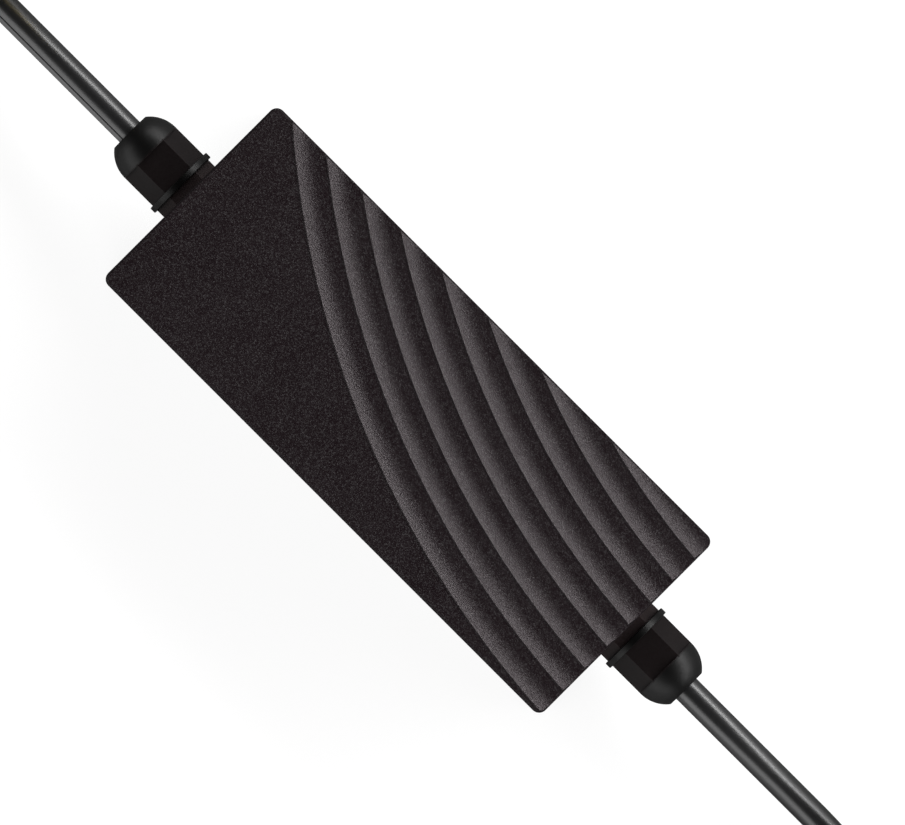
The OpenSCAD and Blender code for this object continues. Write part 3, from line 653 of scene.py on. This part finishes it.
def welded_copy(node, name, finish, slot, edge=0.0):
    """A copy of a solid with its loose triangles joined, its sharp edges rounded over and its round
    faces shaded smooth. It stands for the solid."""
    piece = bpy.data.objects.new(name, NODES[node].data.copy())
    bpy.context.scene.collection.objects.link(piece)
    make_active(piece)
    bpy.ops.mesh.customdata_custom_splitnormals_clear()
    bpy.ops.object.mode_set(mode="EDIT")
    bpy.ops.mesh.select_all(action="SELECT")
    bpy.ops.mesh.remove_doubles(threshold=WELD_DISTANCE)
    if edge > 0.0:
        bpy.ops.mesh.dissolve_limited(angle_limit=FLAT_ANGLE)
    bpy.ops.object.mode_set(mode="OBJECT")
    if edge > 0.0:
        apply_modifier(piece, "BEVEL", width=edge, segments=2, limit_method="ANGLE",
                       angle_limit=MOULDED_CREASE, use_clamp_overlap=True)
    smooth(piece, MOULDED_CREASE)
    return place_piece(piece, name, finish, slot, node)


def finish_faces(piece, finish, chosen):
    """Gives the faces that this test chooses a finish of their own."""
    piece.data.materials.append(finish)
    for face in piece.data.polygons:
        if chosen(face):
            face.material_index = 1


def dress_node(node, finish):
    """Gives a solid that stays as it is its finish."""
    solid = NODES[node]
    if not solid.material_slots:
        solid.data.materials.append(finish)
    for held in solid.material_slots:
        held.material = finish


# Leads


def ease(t):
    """Smooth step from 0 to 1."""
    return 0.5 - 0.5 * math.cos(math.pi * min(1.0, max(0.0, t)))


def hank_point(along, radius):
    """Point of a hank's turn at this distance along its middle line: out from the wall, and
    sideways. The turn starts beside the near fold's centre and runs outwards."""
    fold = math.pi * HANK_MID
    along %= 2 * (HANK_STRAIGHT + fold)
    far = HANK_NEAR + HANK_STRAIGHT
    if along < HANK_STRAIGHT:
        return HANK_NEAR + along, -radius
    along -= HANK_STRAIGHT
    if along < fold:
        turn = along / HANK_MID
        return far + radius * math.sin(turn), -radius * math.cos(turn)
    along -= fold
    if along < HANK_STRAIGHT:
        return far - along, radius
    turn = (along - HANK_STRAIGHT) / HANK_MID
    return HANK_NEAR - radius * math.sin(turn), radius * math.cos(turn)


def hank_points():
    """The wound turns: two side by side, two on top of them, and a last stretch on those."""
    around = 2 * (HANK_STRAIGHT + math.pi * HANK_MID)
    points = []
    for i in range(1, int(HANK_TURNS * around / HANK_STEP) + 1):
        along = i * HANK_STEP
        radius, height = HANK_OUT, LAYER_Z
        for at, rise, delay, shift, to_radius, to_height in CROSSINGS:
            past = along - at * around
            height += ease(past / rise) * (to_height - height)
            radius += ease((past - delay) / shift) * (to_radius - radius)
        out, side = hank_point(along, radius)
        if side < 0 and height < LAYER_Z + 2 * TURN_PITCH:
            off = abs(out - HANK_NEAR - HANK_STRAIGHT / 2) / TIE_LIFT_REACH
            height += TIE_LIFT * (1 - ease(off))
        points.append((out, side, height))
    return points


def spline(points):
    """Smooth curve that runs close by these points."""
    first = tuple(2 * a - b for a, b in zip(points[0], points[1]))
    last = tuple(2 * a - b for a, b in zip(points[-1], points[-2]))
    held = [first, *points, last]
    curve = []
    for i in range(len(held) - 3):
        for k in range(SPLINE_PARTS):
            t = k / SPLINE_PARTS
            shares = ((1 - t) ** 3, 3 * t**3 - 6 * t**2 + 4, -3 * t**3 + 3 * t**2 + 3 * t + 1, t**3)
            near = list(zip(shares, held[i:i + 4]))
            curve.append([sum(share * point[c] for share, point in near) / 6 for c in range(3)])
    curve.append(list(points[-1]))
    return curve


def lead_line(side, end_z):
    """A lead's middle line in metres, from inside its gland to inside its plug or connector."""
    top = LAYER_Z + 2 * TURN_PITCH
    end = [(a, y, top + z * (end_z / MM - top)) for a, y, z in END_ROUTE]
    wall = WALL_X / MM
    return [Vector((side * (wall + a) * MM, y * MM, z * MM))
            for a, y, z in spline([*ROUTE, *hank_points(), *end])]


def ring_profile(sizes, grooved):
    """Angles and radii round a lead's section."""
    radius = sizes.lead_diameter / 2
    turns = [FULL_TURN * i / sizes.lead_sides for i in range(sizes.lead_sides)]
    if not grooved:
        return [(turn, radius) for turn in turns]
    centres = [math.pi - sizes.groove_angle, math.pi + sizes.groove_angle]
    rest = [(turn, radius) for turn in turns
            if all(abs(turn - centre) > GROOVE_CLEAR for centre in centres)]
    cut = [(centre + math.radians(off), radius - share * sizes.groove_depth)
           for centre in centres for off, share in GROOVE_DIP]
    return sorted(rest + cut)


def lead_mesh(name, line, profile):
    """Tube with this section along the line, closed at both ends, with a map of turn and length."""
    verts, faces, around, lengths = [], [], [], [0.0]
    for i, point in enumerate(line):
        ahead = line[min(i + 1, len(line) - 1)] - line[max(i - 1, 0)]
        side = ahead.cross(Vector((0, 0, 1))).normalized()
        up = side.cross(ahead).normalized()
        verts += [point + radius * (side * math.cos(turn) + up * math.sin(turn))
                  for turn, radius in profile]
        if i:
            lengths.append(lengths[-1] + (point - line[i - 1]).length)
    count = len(profile)
    for i in range(len(line) - 1):
        for j in range(count):
            k = (j + 1) % count
            faces.append((i * count + j, i * count + k, (i + 1) * count + k, (i + 1) * count + j))
            here = profile[j][0]
            there = profile[k][0] if k else profile[0][0] + FULL_TURN
            around.append((i, here, there))
    last = (len(line) - 1) * count
    faces.append(tuple(reversed(range(count))))
    faces.append(tuple(last + j for j in range(count)))
    mesh = bpy.data.meshes.new(name)
    mesh.from_pydata(verts, [], faces)
    layer = mesh.uv_layers.new(name=LEAD_UV)
    for number, (i, here, there) in enumerate(around):
        corners = [(here, lengths[i]), (there, lengths[i]), (there, lengths[i + 1]),
                   (here, lengths[i + 1])]
        for corner, (turn, length) in enumerate(corners):
            layer.data[4 * number + corner].uv = (turn / FULL_TURN, length / LEAD_UV_LENGTH)
    piece = bpy.data.objects.new(name, mesh)
    bpy.context.scene.collection.objects.link(piece)
    return piece


def strap_loop(side, sizes):
    """A tie's strap: a closed band round the bundle of turns, and its free end on top."""
    thick = sizes.strap_thickness
    out = WALL_X + (HANK_NEAR + HANK_STRAIGHT / 2) * MM
    height = (LAYER_Z + TURN_PITCH / 2 + TIE_LIFT) * MM
    middle = Vector((side * out, -HANK_MID * MM, height))
    deselect()
    bpy.ops.mesh.primitive_plane_add(size=BUNDLE, location=middle, rotation=(0, math.pi / 2, 0))
    band = bpy.context.object
    bpy.ops.object.transform_apply(location=True, rotation=True, scale=True)
    bpy.ops.object.mode_set(mode="EDIT")
    bpy.ops.mesh.select_all(action="SELECT")
    bpy.ops.mesh.bevel(offset=STRAP_CORNER, segments=6, affect="VERTICES")
    bpy.ops.mesh.select_all(action="SELECT")
    bpy.ops.mesh.delete(type="ONLY_FACE")
    bpy.ops.mesh.select_all(action="SELECT")
    bpy.ops.transform.translate(value=(-STRAP_WIDTH / 2, 0, 0))
    bpy.ops.mesh.extrude_region_move(TRANSFORM_OT_translate={"value": (STRAP_WIDTH, 0, 0)})
    bpy.ops.mesh.select_all(action="SELECT")
    bpy.ops.mesh.normals_make_consistent(inside=False)
    bpy.ops.object.mode_set(mode="OBJECT")
    apply_modifier(band, "SOLIDIFY", thickness=thick, offset=1.0)
    deselect()
    bpy.ops.mesh.primitive_cube_add(
        size=1.0, location=middle + Vector((0, TONGUE_SHIFT, BUNDLE / 2 + 1.5 * thick)),
        scale=(STRAP_WIDTH * TONGUE_WIDTH, BUNDLE * TONGUE_LENGTH, thick))
    tongue = bpy.context.object
    bpy.ops.object.transform_apply(location=True, rotation=True, scale=True)
    for piece in (band, tongue):
        apply_modifier(piece, "BEVEL", width=STRAP_EDGE, segments=2, limit_method="ANGLE",
                       angle_limit=STRAP_BEVEL_ANGLE)
    deselect()
    tongue.select_set(True)
    band.select_set(True)
    bpy.context.view_layer.objects.active = band
    bpy.ops.object.join()
    smooth(band, STRAP_CREASE)
    return band


# Operators: one for each piece or group of like pieces


class ADAPTER_OT_case(bpy.types.Operator):
    """Dresses the case: its cover with the curved bands, and its base plate"""

    bl_idname = "adapter.case"
    bl_label = "Housing"

    def execute(self, context):
        sizes, colours = context.scene.adapter_sizes, context.scene.adapter_colours
        grain = sizes.grain_size
        plastic = grained("Housing plastic", colours.case, grain=grain, **CASE_FINISH)
        relief = banded(grained("Banded housing plastic", colours.case, grain=grain, **CASE_FINISH))
        cover = welded_copy("top_cover", "case_cover", relief, "housing_plastic")
        # The chamfer: the case's colour darkened, as painted shade
        edge = grained("Housing edge", [c * EDGE_PAINTED_SHADE for c in colours.case], **EDGE_FINISH)
        finish_faces(cover, edge, lambda face: EDGE_RISE < face.normal.z < TOP_RISE)
        welded_copy("base_plate", "case_base", plastic, "housing_plastic")
        return {"FINISHED"}


class ADAPTER_OT_glands(bpy.types.Operator):
    """Dresses both cable glands: the hexagon at the wall, the sealing ring and the domed nut"""

    bl_idname = "adapter.glands"
    bl_label = "Cable glands"

    def execute(self, context):
        sizes, colours = context.scene.adapter_sizes, context.scene.adapter_colours
        # The hexagon: the nut's nylon painted lighter, as painted light against the shade of the wall
        # and ring
        paler = [c * HEXAGON_PAINTED_LIGHT for c in colours.gland]
        nylon = grained("Gland nylon", colours.gland, **NYLON_FINISH)
        hexagon_painted_light = grained("Hexagon nylon", paler, **NYLON_FINISH)
        # The dome: the nut's nylon painted far darker, as painted shade
        domed = grained("Dome nylon", colours.dome, **DOME_FINISH)
        rubber = grained("Ring rubber", colours.ring, **RING_FINISH)
        dome_x = NOSE_X - DOME_LENGTH
        for word in ("input", "output"):
            for node, name, finish, slot in (
                    ("gland_body", "hexagon", hexagon_painted_light, "gland_nylon"),
                    ("gland_ring", "sealing_ring", rubber, "gland_rubber"),
                    ("dome_nut", "domed_nut", nylon, "gland_nylon")):
                piece = welded_copy(f"{word}_{node}", f"{word}_{name}", finish, slot,
                                    sizes.edge_round)
                if name == "domed_nut":
                    finish_faces(piece, domed, lambda face: abs(face.center.x) > dome_x)
        return {"FINISHED"}


class ADAPTER_OT_ends(bpy.types.Operator):
    """Dresses what the leads end in: the mains plug, and the threaded connector"""

    bl_idname = "adapter.ends"
    bl_label = "Plug and connector"

    def execute(self, context):
        colours = context.scene.adapter_colours
        moulding = grained("Plug moulding", colours.plug, grain=0.0004, depth=0.00003,
                           contrast=0.3, dull=0.5, shiny=0.42, specular=0.45)
        brass = grained("Contact brass", (0.58, 0.445, 0.144), grain=0.0003, depth=0.000004,
                        contrast=0.12, dull=0.34, shiny=0.22, specular=0.5, marks=300, metal=1.0)
        for node, name, finish, slot in (
                ("mains_plug", "plug_moulding", moulding, "plug_plastic"),
                ("plug_blades", "plug_contacts", brass, "contact_brass"),
                ("connector_body", "connector_moulding", moulding, "plug_plastic"),
                ("connector_nut", "connector_collar", moulding, "plug_plastic"),
                ("connector_pins", "connector_contacts", brass, "contact_brass")):
            welded_copy(node, name, finish, slot)
        return {"FINISHED"}


class ADAPTER_OT_leads(bpy.types.Operator):
    """Makes both leads with their wound hanks and ties"""

    bl_idname = "adapter.leads"
    bl_label = "Leads"

    def execute(self, context):
        sizes, colours = context.scene.adapter_sizes, context.scene.adapter_colours
        half = (sizes.groove_angle - GROOVE_HALF) / FULL_TURN
        woven = strap_finish("Woven strap", colours.strap)
        for side, word, far, end_node, jacket, held in (
                (-1, "input", "plug", "mains_plug",
                 lead_finish("Striped jacket", colours.lead, colours.stripe, half),
                 ("plug_moulding", "plug_contacts")),
                (1, "output", "connector", "connector_body",
                 lead_finish("Plain jacket", colours.lead),
                 ("connector_moulding", "connector_collar", "connector_contacts"))):
            low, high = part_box(end_node)
            line = lead_line(side, (low.z + high.z) / 2)
            lead = lead_mesh(f"{word}_lead", line, ring_profile(sizes, word == "input"))
            make_active(lead)
            bpy.ops.object.mode_set(mode="EDIT")
            bpy.ops.mesh.select_all(action="SELECT")
            bpy.ops.mesh.normals_make_consistent(inside=False)
            bpy.ops.object.mode_set(mode="OBJECT")
            bpy.ops.object.shade_smooth_by_angle(angle=LEAD_CREASE)
            place_piece(lead, f"{word}_lead", jacket, "lead_jacket",
                        f"{word}_lead_run", f"{word}_lead_hank", f"{word}_lead_end")
            strap = place_piece(strap_loop(side, sizes), f"{word}_strap", woven, "tie_plastic",
                                f"{word}_tie")
        return {"FINISHED"}


class ADAPTER_OT_inside(bpy.types.Operator):
    """Gives every solid inside the case its finish"""

    bl_idname = "adapter.inside"
    bl_label = "Parts inside"

    def execute(self, context):
        colours = context.scene.adapter_colours
        board_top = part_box("circuit_board")[1].z
        fuse_low, fuse_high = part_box("fuse")
        finishes = {}
        for slot, colour, grain, depth, dull, specular, metal in (
                ("gland_nylon", colours.gland, 0.0005, 0.000004, 0.35, 0.15, 0.0),
                ("gland_rubber", colours.ring, 0.0004, 0.00001, 0.5, 0.2, 0.0),
                ("seal_rubber", (0.06, 0.06, 0.062), 0.0004, 0.00002, 0.7, 0.3, 0.0),
                ("screw_steel", (0.45, 0.45, 0.46), 0.0003, 0.000006, 0.35, 0.5, 1.0),
                ("board_green", (0.013, 0.102, 0.033), 0.0012, 0.00002, 0.3, 0.5, 0.0),
                ("terminal_green", (0.028, 0.205, 0.068), 0.0005, 0.00001, 0.45, 0.5, 0.0),
                ("clip_metal", (0.48, 0.48, 0.5), 0.0003, 0.000006, 0.3, 0.5, 1.0),
                ("disc_blue", (0.023, 0.091, 0.352), 0.0015, 0.00003, 0.35, 0.5, 0.0),
                ("film_yellow", (0.69, 0.445, 0.042), 0.0012, 0.00001, 0.3, 0.5, 0.0),
                ("ferrite", (0.029, 0.029, 0.031), 0.0003, 0.00002, 0.6, 0.4, 0.0),
                ("component_black", (0.011, 0.011, 0.0115), 0.0003, 0.00001, 0.5, 0.5, 0.0),
                ("component_white", (0.79, 0.77, 0.73), 0.0003, 0.00001, 0.45, 0.5, 0.0),
                ("heatsink_aluminium", (0.4, 0.41, 0.42), 0.0002, 0.00001, 0.45, 0.5, 1.0),
                ("wire_brown", (0.195, 0.069, 0.025), 0.0006, 0.000005, 0.4, 0.5, 0.0),
                ("wire_red", (0.352, 0.023, 0.023), 0.0006, 0.000005, 0.4, 0.5, 0.0)):
            finishes[slot] = grained(slot.replace("_", " ").capitalize() + " inside", colour, grain,
                                     depth, contrast=0.15, dull=dull, shiny=0.8 * dull,
                                     specular=specular, marks=150.0, metal=metal)
        finishes["fuse_ceramic"] = capped_finish(
            "Capped fuse", side=(0.69, 0.66, 0.58), cap=(0.55, 0.55, 0.57), axis="Y",
            middle=(fuse_low.y + fuse_high.y) / 2, reach=FUSE_BARE_FROM)
        finishes["can_sleeve"] = capped_finish(
            "Sleeved can", side=(0.0144, 0.0176, 0.0252), cap=(0.6, 0.6, 0.62), axis="Z",
            middle=board_top, reach=CAN_BARE_FROM)
        finishes["winding_copper"] = wound_finish(
            "Copper winding", (0.6, 0.2, 0.06), pitch=0.0008, direction="Z", metal=0.8)
        finishes["winding_tape"] = wound_finish(
            "Taped winding", (0.69, 0.462, 0.023), pitch=0.006, direction="Z")
        # A solid that a piece stands for is hidden, and needs no finish
        for row in frame["record"]["subparts"]:
            if not NODES[row["node"]].hide_render:
                dress_node(row["node"], finishes[row["material_slot"]])
        return {"FINISHED"}


# Stage


def light_path(nodes, links, *kinds):
    """1 for these kinds of ray and 0 for the others."""
    path = nodes.new("ShaderNodeLightPath")
    found = path.outputs[kinds[0]]
    for kind in kinds[1:]:
        found = number_math(nodes, links, "MAXIMUM", found, path.outputs[kind])
    return found


def world_light():
    """Studio surround: white to the camera, and dim and darker overhead to everything else."""
    world = bpy.data.worlds.new("Studio surround")
    bpy.context.scene.world = world
    world.use_nodes = True
    nodes, links = world.node_tree.nodes, world.node_tree.links
    place = nodes.new("ShaderNodeTexCoord")
    part = add_node(nodes, links, "ShaderNodeSeparateXYZ", Vector=place.outputs["Generated"])
    climb = map_range(nodes, links, part.outputs["Z"], *ROOM_CLIMB, ROOM_SIDE, ROOM_TOP)
    seen = light_path(nodes, links, "Is Camera Ray")
    strength = mixed(nodes, links, "FLOAT", seen, climb, 1.0)
    links.new(strength, nodes["Background"].inputs["Strength"])


def floor_finish(colour):
    """White floor for the camera, dimmer in reflections, with a painted shadow in them close beside
    the object, and with a soft shadow of the object.
    """
    finish, nodes, links, shader = new_finish("Studio floor")
    shader.inputs["Base Color"].default_value = (*colour, 1.0)
    shader.inputs["Roughness"].default_value = 1.0
    shader.inputs["Specular IOR Level"].default_value = 0.0
    across = object_axis(nodes, links, "Y")
    mirrored = map_range(nodes, links, across, *FLOOR_MIRROR_ACROSS, *FLOOR_MIRRORED)
    # No glow in reflections close beside the object: a painted shadow
    clear = beyond(nodes, links, across, 0.0, FLOOR_PAINTED_SHADOW_TO, FLOOR_PAINTED_SHADOW_TO - FLOOR_PAINTED_SHADOW_FROM)
    reflected_with_painted_shadow = number_math(nodes, links, "MULTIPLY", mirrored, clear)
    glossy = light_path(nodes, links, "Is Glossy Ray", "Is Transmission Ray")
    reflected = number_math(nodes, links, "MULTIPLY", reflected_with_painted_shadow, glossy)
    seen = light_path(nodes, links, "Is Camera Ray")
    glow = mixed(nodes, links, "FLOAT", seen, reflected, FLOOR_GLOW)
    light = add_node(nodes, links, "ShaderNodeEmission", Strength=glow)
    both = nodes.new("ShaderNodeAddShader")
    links.new(shader.outputs["BSDF"], both.inputs[0])
    links.new(light.outputs["Emission"], both.inputs[1])
    links.new(both.outputs["Shader"], nodes["Material Output"].inputs["Surface"])
    return finish


def softbox(name, azimuth, elevation, distance, width, height, radiance):
    """Area lamp of even radiance that faces the object, and that the camera doesn't see."""
    az, el = math.radians(azimuth), math.radians(elevation)
    away = Vector((math.cos(az) * math.cos(el), math.sin(az) * math.cos(el), math.sin(el)))
    deselect()
    bpy.ops.object.light_add(type="AREA", location=away * distance)
    lamp = bpy.context.object
    lamp.name = name
    lamp.rotation_euler = away.to_track_quat("Z", "Y").to_euler()
    lamp.data.shape = "RECTANGLE"
    lamp.data.size = width
    lamp.data.size_y = height
    # A lamp's radiance is its power over pi and its area, and its power spreads over a half space
    lamp.data.energy = radiance * math.pi * width * height
    lamp.visible_camera = False


class ADAPTER_OT_stage(bpy.types.Operator):
    """Sets the studio floor, the soft lamps, the surround and the camera"""

    bl_idname = "adapter.stage"
    bl_label = "Stage"

    def execute(self, context):
        scene = context.scene
        deselect()
        bpy.ops.mesh.primitive_grid_add(x_subdivisions=4, y_subdivisions=4, size=FLOOR_SIZE,
                                        location=(0.0, 0.0, 0.0))
        floor = context.object
        floor.name = "studio_floor"
        floor.data.materials.append(floor_finish(scene.adapter_colours.floor))
        for name, settings in LAMPS.items():
            softbox(name, *settings)
        world_light()
        deselect()
        bpy.ops.object.camera_add(location=(*CAMERA_MIDDLE, CAMERA_HEIGHT),
                                  rotation=(0.0, 0.0, CAMERA_TURN))
        camera = context.object
        camera.data.sensor_width = SENSOR_WIDTH
        camera.data.lens = SENSOR_WIDTH * (CAMERA_HEIGHT - COVER_HIGH.z) / FRAME_WIDTH
        camera.data.clip_end = CAMERA_REACH
        scene.camera = camera
        scene.view_settings.view_transform = "Standard"
        return {"FINISHED"}


# Registration


OPERATORS = (ADAPTER_OT_stage, ADAPTER_OT_ends, ADAPTER_OT_leads, ADAPTER_OT_case,
             ADAPTER_OT_glands, ADAPTER_OT_inside)


class ADAPTER_PT_pieces(bpy.types.Panel):
    """Lists the pieces of the adapter in the sidebar"""

    bl_idname = "ADAPTER_PT_pieces"
    bl_label = "Power adapter"
    bl_space_type = "VIEW_3D"
    bl_region_type = "UI"
    bl_category = "Adapter"

    def draw(self, context):
        for group in (context.scene.adapter_sizes, context.scene.adapter_colours):
            column = self.layout.column(align=True)
            for key in group.bl_rna.properties.keys():
                if key not in ("rna_type", "name"):
                    column.prop(group, key)
        for operator in OPERATORS:
            self.layout.operator(operator.bl_idname)


CLASSES = (AdapterSizes, AdapterColours, *OPERATORS, ADAPTER_PT_pieces)


def register():
    """Adds the settings, operators and panel to Blender."""
    for item in CLASSES:
        bpy.utils.register_class(item)
    bpy.types.Scene.adapter_sizes = PointerProperty(type=AdapterSizes)
    bpy.types.Scene.adapter_colours = PointerProperty(type=AdapterColours)


def unregister():
    """Takes them out again."""
    del bpy.types.Scene.adapter_colours
    del bpy.types.Scene.adapter_sizes
    for item in reversed(CLASSES):
        bpy.utils.unregister_class(item)


def main():
    """Builds the dressed adapter on its stage."""
    register()
    bpy.ops.adapter.stage()
    bpy.ops.adapter.ends()
    bpy.ops.adapter.leads()
    bpy.ops.adapter.case()
    bpy.ops.adapter.glands()
    bpy.ops.adapter.inside()


if __name__ == "__main__":
    main()
